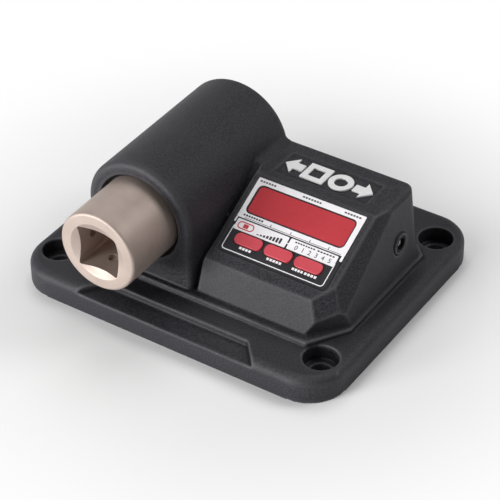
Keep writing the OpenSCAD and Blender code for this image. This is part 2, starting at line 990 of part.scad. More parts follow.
module printed_film() {
    color([0.1, 0.1, 0.11])
        on_panel()
            difference() {
                at_film()
                    translate([0, 0, -film_sink])
                        linear_extrude(film_t)
                            rounded_rect(film_w, film_len, film_corner_r);
                at_window()
                    translate([0, 0, -over])
                        linear_extrude(2 * over)
                            rounded_rect(window_w, window_len, window_corner_r);
                for (i = [-1 : 1])
                    at_key(i)
                        translate([0, 0, -over])
                            linear_extrude(2 * over)
                                rounded_rect(key_w + 2 * key_gap, key_len + 2 * key_gap,
                                             key_corner_r + key_gap);
            }
}

// Red window with a raised middle that fills the film's opening
module display_window() {
    color([0.35, 0.05, 0.07])
        on_panel()
            at_window() {
                translate([0, 0, -film_sink - window_t])
                    linear_extrude(window_t)
                        square([window_w + 2 * window_lip, window_len + 2 * window_lip],
                               center = true);
                translate([0, 0, -film_sink - melt])
                    linear_extrude(melt + film_t - window_seat)
                        rounded_rect(window_w - 2 * fit_gap, window_len - 2 * fit_gap,
                                     window_corner_r - fit_gap);
            }
}

module key(i) {
    color([0.72, 0.16, 0.16])
        on_panel()
            at_key(i) {
                translate([0, 0, -key_collar_drop - key_collar_t])
                    linear_extrude(key_collar_t)
                        rounded_rect(key_w, key_len + 2 * key_collar, key_corner_r);
                translate([0, 0, -key_collar_drop - melt])
                    linear_extrude(key_collar_drop + melt + key_rise)
                        rounded_rect(key_w, key_len, key_corner_r);
                translate([0, 0, -plunger_h])
                    cylinder(r = key_stem_r, h = plunger_h - key_collar_drop - melt);
            }
}

module key_left() {
    key(-1);
}

module key_middle() {
    key(0);
}

module key_right() {
    key(1);
}

module switch_bodies() {
    color([0.12, 0.12, 0.13])
        on_panel()
            for (i = [-1 : 1])
                at_key(i)
                    difference() {
                        translate([-switch_w / 2, -switch_w / 2, -board_depth])
                            cube([switch_w, switch_w, switch_h]);
                        translate([0, 0, -board_depth + switch_h - switch_well])
                            cylinder(r = plunger_r + plunger_clear, h = switch_well + over);
                    }
}

module plunger(i) {
    color([0.9, 0.9, 0.85])
        on_panel()
            at_key(i)
                translate([0, 0, -board_depth + switch_h - plunger_in])
                    cylinder(r = plunger_r,
                             h = board_depth - switch_h + plunger_in - plunger_h);
}

module plunger_left() {
    plunger(-1);
}

module plunger_middle() {
    plunger(0);
}

module plunger_right() {
    plunger(1);
}

module main_board() {
    color([0.1, 0.35, 0.2])
        on_panel()
            difference() {
                translate([board_left, board_up - board_len, -board_under])
                    cube([board_w, board_len, board_t]);
                at_posts()
                    translate([0, 0, -board_under - over])
                        cylinder(r = board_screw_r + screw_gap, h = board_t + 2 * over);
            }
}

module board_screws() {
    color([0.75, 0.75, 0.78])
        on_panel()
            at_posts()
                translate([0, 0, -board_under]) {
                    translate([0, 0, -board_head_h])
                        cylinder(r = board_head_r, h = board_head_h);
                    cylinder(r = board_screw_r, h = board_t + board_screw_len);
                }
}

module display_module() {
    color([0.2, 0.05, 0.05])
        on_panel()
            at_window()
                translate([-display_w / 2, -display_len / 2, -board_depth])
                    cube([display_w, display_len, display_h]);
}

// A block under the board, given by its middle across and down the board
module under_board(x, drop, w, len, h) {
    on_panel()
        translate([x - w / 2, -drop - len / 2, -board_under - h])
            cube([w, len, h]);
}

module processor_chip() {
    color([0.08, 0.08, 0.09])
        under_board(board_left + board_w / 2, board_len / 2, chip_w, chip_w, chip_t);
}

module amplifier_chip() {
    color([0.08, 0.08, 0.09])
        under_board(board_left + chip_w, board_len / 2, small_chip_w, small_chip_len, chip_t);
}

module supply_capacitor() {
    color([0.2, 0.22, 0.4])
        on_panel()
            translate([board_left + board_w - chip_w, -board_len / 2, -board_under - can_h])
                cylinder(r = can_r, h = can_h);
}

module harness_header() {
    color([0.9, 0.88, 0.8])
        under_board(harness_header_x, header_drop, header_w, header_w, header_h);
}

module supply_header() {
    color([0.9, 0.88, 0.8])
        under_board(supply_header_x, header_drop - header_w / 4, header_w, header_w, header_h);
}

// Places what follows on the supply jack's axis, z out of the wall
module on_jack(x) {
    translate([x, jack_back, jack_h])
        rotate([0, 90, 0])
            children();
}

module supply_jack() {
    color([0.1, 0.1, 0.11])
        difference() {
            union() {
                on_jack(jack_pad_x - jack_collar_t - jack_box_len)
                    translate([-jack_box_w / 2, -jack_box_w / 2, 0])
                        cube([jack_box_w, jack_box_w, jack_box_len]);
                on_jack(jack_pad_x - jack_collar_t)
                    cylinder(r = jack_collar_r, h = jack_collar_t);
                on_jack(jack_pad_x - jack_collar_t)
                    cylinder(r = jack_bush_r, h = jack_out - jack_pad_x + jack_collar_t);
            }
            on_jack(jack_out - jack_hole_len)
                cylinder(r = jack_hole_r, h = jack_hole_len + over);
        }
}

module jack_nut() {
    color([0.13, 0.13, 0.14])
        on_jack(jack_face - jack_spot_depth)
            difference() {
                cylinder(r = jack_nut_r, h = jack_nut_t);
                translate([0, 0, -over])
                    cylinder(r = jack_bush_r + screw_gap, h = jack_nut_t + 2 * over);
            }
}

module jack_pin() {
    color([0.85, 0.85, 0.85])
        on_jack(jack_out - jack_hole_len)
            cylinder(r = jack_pin_r, h = jack_pin_len);
}

housing();
bottom_cover();
bottom_cover_screws();
torque_sensor();
sensor_bolts();
sensor_dowels();
support_bush();
dust_seal();
strain_gauges();
gauge_harness();
harness_grommet();
display_window();
printed_film();
key_left();
key_middle();
key_right();
switch_bodies();
plunger_left();
plunger_middle();
plunger_right();
main_board();
board_screws();
display_module();
processor_chip();
amplifier_chip();
supply_capacitor();
harness_header();
supply_header();
supply_jack();
jack_nut();
jack_pin();
supply_leads();
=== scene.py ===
import json
import math

import bmesh
import bpy
from mathutils import Matrix, Vector


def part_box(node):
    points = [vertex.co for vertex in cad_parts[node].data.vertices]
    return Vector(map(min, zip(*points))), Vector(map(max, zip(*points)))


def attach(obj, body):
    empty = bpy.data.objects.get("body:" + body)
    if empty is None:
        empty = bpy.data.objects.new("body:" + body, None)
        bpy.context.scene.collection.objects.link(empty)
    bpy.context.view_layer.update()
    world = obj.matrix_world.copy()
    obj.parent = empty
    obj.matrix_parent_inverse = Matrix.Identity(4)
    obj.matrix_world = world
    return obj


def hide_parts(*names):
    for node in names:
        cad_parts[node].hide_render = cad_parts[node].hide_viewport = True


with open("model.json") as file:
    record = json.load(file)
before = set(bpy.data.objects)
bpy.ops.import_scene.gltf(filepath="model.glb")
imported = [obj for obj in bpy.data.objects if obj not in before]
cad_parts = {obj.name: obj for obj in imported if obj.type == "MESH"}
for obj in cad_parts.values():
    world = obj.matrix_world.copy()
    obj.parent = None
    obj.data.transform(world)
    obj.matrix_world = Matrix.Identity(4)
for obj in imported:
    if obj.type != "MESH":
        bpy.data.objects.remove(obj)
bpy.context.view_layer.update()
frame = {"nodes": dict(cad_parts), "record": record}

# The photograph's view
# A long lens to the front right of the tester, looking down at it, solved from the straight
# edges of the base, the panel and the square hole. MM turns millimetres into the scene's metres.
MM = 0.001
VIEW_AZIMUTH = math.radians(33.973)
VIEW_ELEVATION = math.radians(37.809)
VIEW_ROLL = math.radians(-0.838)
LENS_POINT = Vector((391.28, -579.43, 550.95)) * MM
LENS_LENGTH = 148.35
CHIP_WIDTH = 36.0
FARTHEST_SEEN = 20

scene = bpy.context.scene
camera_data = bpy.data.cameras.new("photo_view")
camera_data.lens = LENS_LENGTH
camera_data.sensor_width = CHIP_WIDTH
camera_data.clip_end = FARTHEST_SEEN
camera = bpy.data.objects.new("photo_view", camera_data)
scene.collection.objects.link(camera)
level_right = Vector((math.cos(VIEW_AZIMUTH), math.sin(VIEW_AZIMUTH), 0))
level_up = Vector((-math.sin(VIEW_AZIMUTH) * math.sin(VIEW_ELEVATION),
                   math.cos(VIEW_AZIMUTH) * math.sin(VIEW_ELEVATION), math.cos(VIEW_ELEVATION)))
towards_lens = level_right.cross(level_up)
view_right = level_right * math.cos(VIEW_ROLL) + level_up * math.sin(VIEW_ROLL)
view_up = level_up * math.cos(VIEW_ROLL) - level_right * math.sin(VIEW_ROLL)
view_axes = Matrix((view_right, view_up, towards_lens)).transposed().to_4x4()
camera.matrix_world = Matrix.Translation(LENS_POINT) @ view_axes
scene.camera = camera

# The studio
# A white table that runs into a white backdrop, and five round lamps, each with its place, width
# and power, all in metres and watts. The strongest stands low at the front left. The table keeps
# the tester's shadow, and glows white where the shadow has ended.
scene.view_settings.view_transform = "Standard"
WHITE = (1, 1, 1, 1)
AIR_LIGHT = 0.14
AIR_GLOSS = 0.03
TABLE_RADIUS = 6.0
TABLE_SIDES = 96
TABLE_TONE = (0.95, 0.95, 0.95, 1)
SHADOW_REACH = 0.08
SHADOW_END = 0.19
LAMPS = {
    "low_front": ((-0.58, -1.15, 0.08), 0.5, 20),
    "high_front": ((-0.4, -0.9, 0.9), 0.6, 6),
    "overhead": ((-0.3, 0.5, 1.15), 0.9, 4.4),
    "rear_left": ((-0.9, 0.7, 0.45), 0.6, 1.2),
    "rear_right": ((0.7, 0.6, 0.9), 0.6, 4.6),
}


def new_node(tree, kind, **settings):
    """A new node with some of its settings"""
    node = tree.nodes.new(kind)
    for name, value in settings.items():
        setattr(node, name, value)
    return node


def seen_directly(tree):
    """1 for what the lens, a gloss or a clear plastic sees, 0 for what lights the object"""
    path = new_node(tree, "ShaderNodeLightPath")
    first = new_node(tree, "ShaderNodeMath", operation="MAXIMUM")
    second = new_node(tree, "ShaderNodeMath", operation="MAXIMUM")
    tree.links.new(path.outputs["Is Camera Ray"], first.inputs[0])
    tree.links.new(path.outputs["Is Glossy Ray"], first.inputs[1])
    tree.links.new(first.outputs[0], second.inputs[0])
    tree.links.new(path.outputs["Is Transmission Ray"], second.inputs[1])
    return second.outputs[0]


# The backdrop is white to the lens and nearly dark to a gloss, so the lamps alone model the form.
world = bpy.data.worlds.new("studio")
scene.world = world
world.use_nodes = True
air = world.node_tree
air.nodes.clear()
soft_light = new_node(air, "ShaderNodeBackground")
soft_light.inputs["Color"].default_value = WHITE
soft_light.inputs["Strength"].default_value = AIR_LIGHT
backdrop = new_node(air, "ShaderNodeBackground")
backdrop.inputs["Color"].default_value = WHITE
sight = new_node(air, "ShaderNodeLightPath")
whiteness = new_node(air, "ShaderNodeMapRange")
whiteness.inputs["To Min"].default_value = AIR_GLOSS
air_choice = new_node(air, "ShaderNodeMixShader")
air_out = new_node(air, "ShaderNodeOutputWorld")
air.links.new(sight.outputs["Is Camera Ray"], whiteness.inputs["Value"])
air.links.new(whiteness.outputs[0], backdrop.inputs["Strength"])
air.links.new(seen_directly(air), air_choice.inputs[0])
air.links.new(soft_light.outputs[0], air_choice.inputs[1])
air.links.new(backdrop.outputs[0], air_choice.inputs[2])
air.links.new(air_choice.outputs[0], air_out.inputs["Surface"])

table_mesh = bmesh.new()
bmesh.ops.create_circle(table_mesh, cap_ends=True, segments=TABLE_SIDES, radius=TABLE_RADIUS)
table_data = bpy.data.meshes.new("table")
table_mesh.to_mesh(table_data)
table_mesh.free()
table = bpy.data.objects.new("table", table_data)
scene.collection.objects.link(table)
table_white = bpy.data.materials.new("white_table")
table_white.use_nodes = True
table_tree = table_white.node_tree
table_tree.nodes.clear()
matt = new_node(table_tree, "ShaderNodeBsdfDiffuse")
matt.inputs["Color"].default_value = TABLE_TONE
glow = new_node(table_tree, "ShaderNodeEmission")
where = new_node(table_tree, "ShaderNodeTexCoord")
distance = new_node(table_tree, "ShaderNodeVectorMath", operation="LENGTH")
fade = new_node(table_tree, "ShaderNodeMapRange", interpolation_type="SMOOTHSTEP")
fade.inputs["From Min"].default_value = SHADOW_REACH
fade.inputs["From Max"].default_value = SHADOW_END
seen_glow = new_node(table_tree, "ShaderNodeMath", operation="MULTIPLY")
table_choice = new_node(table_tree, "ShaderNodeMixShader")
table_out = new_node(table_tree, "ShaderNodeOutputMaterial")
table_tree.links.new(where.outputs["Object"], distance.inputs[0])
table_tree.links.new(distance.outputs["Value"], fade.inputs["Value"])
table_tree.links.new(fade.outputs[0], seen_glow.inputs[0])
table_tree.links.new(seen_directly(table_tree), seen_glow.inputs[1])
table_tree.links.new(seen_glow.outputs[0], table_choice.inputs[0])
table_tree.links.new(matt.outputs[0], table_choice.inputs[1])
table_tree.links.new(glow.outputs[0], table_choice.inputs[2])
table_tree.links.new(table_choice.outputs[0], table_out.inputs["Surface"])
table_data.materials.append(table_white)

for lamp_name, (place, width, power) in LAMPS.items():
    lamp_data = bpy.data.lights.new(lamp_name, "AREA")
    lamp_data.shape = "DISK"
    lamp_data.size = width
    lamp_data.energy = power
    lamp = bpy.data.objects.new(lamp_name, lamp_data)
    lamp.location = place
    lamp.rotation_euler = (-Vector(place)).to_track_quat("-Z", "Y").to_euler()
    scene.collection.objects.link(lamp)

# Housing
# One aluminium die casting: flange, plinth, barrel and console. It is coated with a dark grey
# textured paint, and its edges are softly rounded as cast edges are. Four bolts through the
# flange hold it on a bench.
PAINT = (0.0075, 0.0072, 0.0096)
PAINT_LIGHT = (0.039, 0.0372, 0.047)
# PAINT_EDGE_HIGHLIGHT is a painted highlight on raised edges, PAINT_CORNER_SHADE painted shade in
# inner corners.
PAINT_EDGE_HIGHLIGHT = (0.07, 0.07, 0.078)
PAINT_CORNER_SHADE = (0.006, 0.006, 0.008)
PAINT_ROUGH = (0.45, 0.62)
GRIT_SCALE = 1500.0
GRIT_TONE = (0.44, 0.58)
FLAT_POINTINESS = 0.5
EDGE_POINTINESS = 0.03
CAST_GRID = 0.5 * MM
CAST_SMOOTHING = 0.5
CAST_PASSES = 6
CAST_TRIANGLES = 180000
SEAM = 0.002 * MM


def new_group(name, inputs, outputs):
    """A node group with number sockets of those names, and its input and output nodes"""
    group = bpy.data.node_groups.new(name, "ShaderNodeTree")
    for side, sockets in (("INPUT", inputs), ("OUTPUT", outputs)):
        for socket in sockets:
            group.interface.new_socket(name=socket, in_out=side, socket_type="NodeSocketFloat")
    return group, new_node(group, "NodeGroupInput"), new_node(group, "NodeGroupOutput")


def grain_group():
    """Uneven tone and fine grit for any finish, with scales per metre"""
    group, given, made = new_group("grain", ("Blotch scale", "Grit scale"), ("Blotch", "Grit"))
    place = new_node(group, "ShaderNodeTexCoord")
    for name, detail, roughness in (("Blotch", 3, 0.5), ("Grit", 4, 0.6)):
        noise = new_node(group, "ShaderNodeTexNoise")
        noise.inputs["Detail"].default_value = detail
        noise.inputs["Roughness"].default_value = roughness
        group.links.new(place.outputs["Object"], noise.inputs["Vector"])
        group.links.new(given.outputs[name + " scale"], noise.inputs["Scale"])
        group.links.new(noise.outputs[0], made.inputs[name])
    return group


grain = grain_group()


def spread(tree, source, low, high, start=0.3, end=0.7):
    """A value between low and high as the source goes from start to end"""
    node = new_node(tree, "ShaderNodeMapRange")
    tree.links.new(source, node.inputs["Value"])
    for name, value in (("From Min", start), ("From Max", end), ("To Min", low), ("To Max", high)):
        node.inputs[name].default_value = value
    return node.outputs[0]


def finish(name, dark, light, rough, blotch=60.0, relief=0.1, depth=0.0001, fine=0.0,
           **constants):
    """A material whose tone, gloss and relief vary as the grain group says

    rough holds the least and the greatest roughness, relief and depth are the strength and the
    height of the bumps, in metres, and fine is the grit's share of the tone.
    """
    material = bpy.data.materials.new(name)
    material.use_nodes = True
    tree = material.node_tree
    shader = tree.nodes["Principled BSDF"]
    grains = new_node(tree, "ShaderNodeGroup", node_tree=grain)
    grains.inputs["Blotch scale"].default_value = blotch
    grains.inputs["Grit scale"].default_value = GRIT_SCALE
    tone = new_node(tree, "ShaderNodeMix", data_type="RGBA")
    tone.inputs["A"].default_value = (*dark, 1)
    tone.inputs["B"].default_value = (*light, 1)
    mixed = new_node(tree, "ShaderNodeMath", operation="ADD")
    tree.links.new(spread(tree, grains.outputs["Blotch"], 0.0, 1.0 - fine), mixed.inputs[0])
    tree.links.new(spread(tree, grains.outputs["Grit"], 0.0, fine, *GRIT_TONE), mixed.inputs[1])
    tree.links.new(mixed.outputs[0], tone.inputs["Factor"])
    tree.links.new(tone.outputs["Result"], shader.inputs["Base Color"])
    tree.links.new(spread(tree, grains.outputs["Grit"], *rough), shader.inputs["Roughness"])
    if relief:
        bump = new_node(tree, "ShaderNodeBump")
        bump.inputs["Strength"].default_value = relief
        bump.inputs["Distance"].default_value = depth
        tree.links.new(grains.outputs["Grit"], bump.inputs["Height"])
        tree.links.new(bump.outputs[0], shader.inputs["Normal"])
    for socket, value in constants.items():
        shader.inputs[socket.replace("_", " ")].default_value = value
    return material


def edge_group():
    """Masks for painted highlight on edges and painted shade in corners, by how a surface bends"""
    group, given, made = new_group("painted_edge_light", ("Flat", "Bent"), ("Edge highlight", "Corner shade"))
    bend = new_node(group, "ShaderNodeNewGeometry")
    for name, operation in (("Edge highlight", "ADD"), ("Corner shade", "SUBTRACT")):
        limit = new_node(group, "ShaderNodeMath", operation=operation)
        mask = new_node(group, "ShaderNodeMapRange")
        group.links.new(given.outputs["Flat"], limit.inputs[0])
        group.links.new(given.outputs["Bent"], limit.inputs[1])
        group.links.new(bend.outputs["Pointiness"], mask.inputs["Value"])
        group.links.new(given.outputs["Flat"], mask.inputs["From Min"])
        group.links.new(limit.outputs[0], mask.inputs["From Max"])
        group.links.new(mask.outputs[0], made.inputs[name])
    return group


def mark_edges(material, edge_highlight, corner_shade):
    """Paints a highlight on a finish's raised edges and shade into its inner corners"""
    tree = material.node_tree
    shader = tree.nodes["Principled BSDF"]
    colour = shader.inputs["Base Color"].links[0].from_socket
    bends = new_node(tree, "ShaderNodeGroup", node_tree=edge_group())
    bends.inputs["Flat"].default_value = FLAT_POINTINESS
    bends.inputs["Bent"].default_value = EDGE_POINTINESS
    for output, tint in (("Edge highlight", edge_highlight), ("Corner shade", corner_shade)):
        mix = new_node(tree, "ShaderNodeMix", data_type="RGBA")
        tree.links.new(bends.outputs[output], mix.inputs["Factor"])
        tree.links.new(colour, mix.inputs["A"])
        mix.inputs["B"].default_value = (*tint, 1)
        colour = mix.outputs["Result"]
    tree.links.new(colour, shader.inputs["Base Color"])


paint = finish("textured_paint", PAINT, PAINT_LIGHT, PAINT_ROUGH, blotch=45, relief=0.6,
               depth=0.0004, fine=0.85, Specular_IOR_Level=0.4)
# Painted highlights on the paint's raised edges and painted shade in its inner corners.
mark_edges(paint, PAINT_EDGE_HIGHLIGHT, PAINT_CORNER_SHADE)

body_of_node = {node: body for body, members in frame["record"]["behaviour"]["bodies"].items()
                for node in members}


def add_piece(name, mesh, material, body, smooth_angle=40):
    """Turns a bmesh into a piece of the object that rides on a body"""
    data = bpy.data.meshes.new(name)
    mesh.to_mesh(data)
    mesh.free()
    data.materials.append(material)
    data.shade_smooth()
    data.set_sharp_from_angle(angle=math.radians(smooth_angle))
    piece = bpy.data.objects.new(name, data)
    scene.collection.objects.link(piece)
    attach(piece, body)
    return piece


def drawn_mesh(thing):
    """A new mesh of what an object shows, with its modifiers taken in"""
    seen = thing.evaluated_get(bpy.context.evaluated_depsgraph_get())
    return bpy.data.meshes.new_from_object(seen)


def take_in_modifiers(piece):
    """Takes a piece's modifiers into its mesh"""
    data = drawn_mesh(piece)
    piece.modifiers.clear()
    piece.data = data


def cast_copy(node, material):
    """A copy of a casting with every edge and corner softened, in the casting's stead"""
    mesh = bmesh.new()
    mesh.from_mesh(frame["nodes"][node].data)
    bmesh.ops.remove_doubles(mesh, verts=mesh.verts, dist=SEAM)
    piece = add_piece(node + "_casting", mesh, material, body_of_node[node])
    even_mesh = piece.modifiers.new("even_mesh", "REMESH")
    even_mesh.mode = "VOXEL"
    even_mesh.voxel_size = CAST_GRID
    take_in_modifiers(piece)
    triangles = 2 * len(piece.data.polygons)
    soft_edges = piece.modifiers.new("soft_edges", "SMOOTH")
    soft_edges.factor = CAST_SMOOTHING
    soft_edges.iterations = CAST_PASSES
    fewer_faces = piece.modifiers.new("fewer_faces", "DECIMATE")
    fewer_faces.ratio = CAST_TRIANGLES / triangles
    take_in_modifiers(piece)
    piece.data.shade_smooth()
    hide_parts(node)


cast_copy("housing", paint)

# Raised mark
# Cast with the housing in the recess of its top, and painted white: an arrow each way round a
# square and a ring, for the two directions of torque and the drive.
MARK_FLOOR = 47.5
MARK_HEIGHT = 0.9
MARK_MIDDLE = 16.4
MARK_SIZE = 11.0
MARK_BAR = 2.6
MARK_ROUNDING = 0.15 * MM
MARK_FLAT = math.radians(1)
LEFT_ARROW_AT = 13.5
SQUARE_AT = 24.1
RING_AT = 35.9
RING_SIDES = 40
RIGHT_ARROW_AT = 46.5
ARROW = ((-0.44, 0.0), (0.0, 0.48), (0.0, 0.2), (0.38, 0.2), (0.38, -0.2), (0.0, -0.2),
         (0.0, -0.48))


def mark_outline(mesh, points, x):
    """A closed line of points on the recess's floor, given in shares of the mark's size"""
    verts = [mesh.verts.new((x + u * MARK_SIZE, MARK_MIDDLE + v * MARK_SIZE, MARK_FLOOR))
             for u, v in points]
    for pair in zip(verts, verts[1:] + verts[:1]):
        mesh.edges.new(pair)


def mark_ring(mesh, x, sides, turn):
    """A ring on the recess's floor, square or round as its number of sides says"""
    reach = MARK_SIZE / 2 / math.cos(math.pi / sides)
    for radius in (reach, reach * (1 - 2 * MARK_BAR / MARK_SIZE)):
        centre = Matrix.Translation((x, MARK_MIDDLE, MARK_FLOOR)) @ Matrix.Rotation(turn, 4, "Z")
        bmesh.ops.create_circle(mesh, segments=sides, radius=radius, matrix=centre)


def thicken(mesh, height):
    """Raises flat faces into solid marks of that height"""
    raised = bmesh.ops.extrude_face_region(mesh, geom=mesh.faces[:])
    tops = [part for part in raised["geom"] if isinstance(part, bmesh.types.BMVert)]
    bmesh.ops.translate(mesh, verts=tops, vec=(0, 0, height))
    bmesh.ops.recalc_face_normals(mesh, faces=mesh.faces[:])


mark_white = finish("mark_white", (0.8, 0.8, 0.8), (0.86, 0.86, 0.86), (0.4, 0.5), blotch=150)
mark = bmesh.new()
mark_outline(mark, ARROW, LEFT_ARROW_AT)
mark_ring(mark, SQUARE_AT, 4, math.radians(45))
mark_ring(mark, RING_AT, RING_SIDES, 0)
mark_outline(mark, [(-u, v) for u, v in ARROW], RIGHT_ARROW_AT)
bmesh.ops.triangle_fill(mark, use_beauty=True, edges=mark.edges[:])
bmesh.ops.dissolve_limit(mark, angle_limit=MARK_FLAT, verts=mark.verts, edges=mark.edges)
thicken(mark, MARK_HEIGHT)
bmesh.ops.scale(mark, vec=(MM, MM, MM), verts=mark.verts[:])
mark_piece = add_piece("torque_mark", mark, mark_white, "tester", smooth_angle=30)
mark_edge = mark_piece.modifiers.new("soft_edges", "BEVEL")
mark_edge.width = MARK_ROUNDING
mark_edge.segments = 2
mark_edge.limit_method = "ANGLE"

# Bottom cover and its screws
# A steel plate painted grey, let into the underside to close the console's hollow. Six zinc
# plated countersunk screws hold it in the casting.
cover_paint = finish("cover_paint", (0.04, 0.04, 0.043), (0.055, 0.055, 0.06), (0.4, 0.55))
zinc = finish("zinc_plate", (0.5, 0.5, 0.53), (0.62, 0.62, 0.66), (0.25, 0.4), Metallic=1.0)


def dress(node, material):
    """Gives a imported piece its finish"""
    for slot in frame["nodes"][node].material_slots:
        slot.material = material


dress("bottom_cover", cover_paint)
dress("bottom_cover_screws", zinc)

# Torque sensor
# One turned and milled steel body, plated in a warm satin tone and bolted to the casting at the
# rear of the barrel. Its drive end stands out in front, with the square hole, a conical mouth
# and round detents.
PLATING_DARK = (0.46, 0.38, 0.338)
PLATING_LIGHT = (0.54, 0.45, 0.402)
PLATING_ROUGH = (0.54, 0.68)
SENSOR_AXIS = Vector((-26.0, 0.0, 42.4)) * MM
TOOL_MARK_SCALE = 1800
TOOL_MARK_DETAIL = 3
TOOL_MARK_RELIEF = 0.18
TOOL_MARK_DEPTH = 0.06 * MM


def turned_group():
    """Fine tool marks round the sensor's axis, on its faces and along its length"""
    group, given, made = new_group("turned_marks", ("Lines",), ("Marks",))
    place = new_node(group, "ShaderNodeTexCoord")
    centred = new_node(group, "ShaderNodeVectorMath", operation="SUBTRACT")
    centred.inputs[1].default_value = SENSOR_AXIS
    parts = new_node(group, "ShaderNodeSeparateXYZ")
    across = new_node(group, "ShaderNodeCombineXYZ")
    radius = new_node(group, "ShaderNodeVectorMath", operation="LENGTH")
    turned = new_node(group, "ShaderNodeCombineXYZ")
    lines = new_node(group, "ShaderNodeTexNoise")
    lines.inputs["Detail"].default_value = TOOL_MARK_DETAIL
    group.links.new(place.outputs["Object"], centred.inputs[0])
    group.links.new(centred.outputs[0], parts.inputs[0])
    group.links.new(parts.outputs["X"], across.inputs["X"])
    group.links.new(parts.outputs["Z"], across.inputs["Y"])
    group.links.new(across.outputs[0], radius.inputs[0])
    group.links.new(radius.outputs["Value"], turned.inputs["X"])
    group.links.new(parts.outputs["Y"], turned.inputs["Y"])
    group.links.new(turned.outputs[0], lines.inputs["Vector"])
    group.links.new(given.outputs["Lines"], lines.inputs["Scale"])
    group.links.new(lines.outputs[0], made.inputs["Marks"])
    return group


plating = finish("warm_satin_plating", PLATING_DARK, PLATING_LIGHT, PLATING_ROUGH, blotch=70,
                 relief=0.0, Metallic=0.8)
plated = plating.node_tree
plated_shader = plated.nodes["Principled BSDF"]
turning = new_node(plated, "ShaderNodeGroup", node_tree=turned_group())
turning.inputs["Lines"].default_value = TOOL_MARK_SCALE
tool_marks = new_node(plated, "ShaderNodeBump")
tool_marks.inputs["Strength"].default_value = TOOL_MARK_RELIEF
tool_marks.inputs["Distance"].default_value = TOOL_MARK_DEPTH
plated.links.new(spread(plated, turning.outputs["Marks"], *PLATING_ROUGH),
                 plated_shader.inputs["Roughness"])
plated.links.new(turning.outputs["Marks"], tool_marks.inputs["Height"])
plated.links.new(tool_marks.outputs[0], plated_shader.inputs["Normal"])
dress("torque_sensor", plating)

# Bolts, dowels and rings round the sensor
# Black cap screws hold the sensor's flange from the rear, and ground steel pins carry the torque
# into the casting. A bronze bush centres the drive end, and a rubber ring seals the bore's mouth.
black_oxide = finish("black_oxide", (0.03, 0.03, 0.032), (0.05, 0.05, 0.055), (0.35, 0.5),
                     Metallic=0.9)
dress("sensor_bolts", black_oxide)
ground_steel = finish("ground_steel", (0.5, 0.5, 0.5), (0.6, 0.6, 0.6), (0.2, 0.3), Metallic=1.0)
dress("sensor_dowels", ground_steel)
bronze = finish("bronze", (0.42, 0.26, 0.1), (0.55, 0.35, 0.15), (0.3, 0.45), Metallic=1.0)
dress("support_bush", bronze)
rubber = finish("black_rubber", (0.012, 0.012, 0.012), (0.02, 0.02, 0.02), (0.55, 0.75))
dress("dust_seal", rubber)

# Strain gauges, harness and grommet
# Foil gauges on amber backing, bonded to the sensor's neck. A screened lead in a black jacket
# goes from them to the circuit board, through a rubber grommet in the wall.
LEAD_SIDES = 4
LEAD_STEPS = 8
GAUGE_LEAD_RADIUS = 1.05
GAUGE_LEAD_ROUTE = (
    (-15.3, -9.5, 42.4), (-12.8, -9.2, 42), (-11, -7.4, 39.8), (-10.8, -4.6, 36.4),
    (-11.8, -1.6, 33.2), (-11.6, 1.2, 31), (-9.4, 2.7, 30.1), (-6.6, 3, 30), (0, 3, 30),
    (5, 3, 30), (8, 3.2, 30.4), (11, 4.1, 32.4), (13.6, 5, 34), (16, 5.1, 34.4),
)


def drawn_bmesh(curve):
    """The mesh of a curve or a text"""
    guide = bpy.data.objects.new("guide", curve)
    scene.collection.objects.link(guide)
    mesh = bmesh.new()
    mesh.from_mesh(drawn_mesh(guide))
    bpy.data.objects.remove(guide)
    return mesh


def lead_piece(name, route, radius, material, node):
    """A round lead on a smooth curve through its points, in its solid's stead"""
    run = bpy.data.curves.new(name, "CURVE")
    run.dimensions = "3D"
    run.bevel_depth = radius * MM
    run.bevel_resolution = LEAD_SIDES
    run.resolution_u = LEAD_STEPS
    run.use_fill_caps = True
    spline = run.splines.new("BEZIER")
    spline.bezier_points.add(len(route) - 1)
    for point, place in zip(spline.bezier_points, route):
        point.co = Vector(place) * MM
        point.handle_left_type = "AUTO"
        point.handle_right_type = "AUTO"
    mesh = drawn_bmesh(run)
    bmesh.ops.remove_doubles(mesh, verts=mesh.verts, dist=SEAM)
    bmesh.ops.recalc_face_normals(mesh, faces=mesh.faces[:])
    piece = add_piece(name, mesh, material, body_of_node[node], smooth_angle=60)
    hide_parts(node)


gauge_foil = finish("gauge_foil", (0.5, 0.24, 0.06), (0.62, 0.34, 0.1), (0.3, 0.5))
dress("strain_gauges", gauge_foil)
black_jacket = finish("lead_jacket", (0.02, 0.02, 0.022), (0.035, 0.035, 0.038), (0.4, 0.55))
lead_piece("gauge_lead", GAUGE_LEAD_ROUTE, GAUGE_LEAD_RADIUS, black_jacket, "gauge_harness")
dress("harness_grommet", rubber)

# Circuit board and what it carries
# A green board screwed to four posts of the casting. Soldered to it are the display module, the
# switches with their plungers, two chips, a capacitor and two plug headers. A red lead brings it
# the supply.
SUPPLY_LEAD_RADIUS = 0.85
SUPPLY_LEAD_ROUTE = (
    (50.4, 15.9, 28.8), (48.4, 15.9, 28.9), (45.8, 15.6, 30.2), (43.2, 15, 32.8),
    (41.2, 13.6, 36), (40.3, 11.8, 37.6), (40, 9.7, 36.8),
)
solder_resist = finish("solder_resist", (0.01, 0.1, 0.035), (0.02, 0.16, 0.06), (0.25, 0.4))
dress("main_board", solder_resist)
dress("board_screws", zinc)
black_resin = finish("black_resin", (0.015, 0.015, 0.016), (0.03, 0.03, 0.032), (0.4, 0.6))
for node in ("processor_chip", "amplifier_chip", "switch_bodies"):
    dress(node, black_resin)
cream = finish("cream_plastic", (0.68, 0.65, 0.54), (0.78, 0.75, 0.64), (0.35, 0.5))
for node in ("harness_header", "supply_header", "plunger_left", "plunger_middle",
             "plunger_right"):
    dress(node, cream)
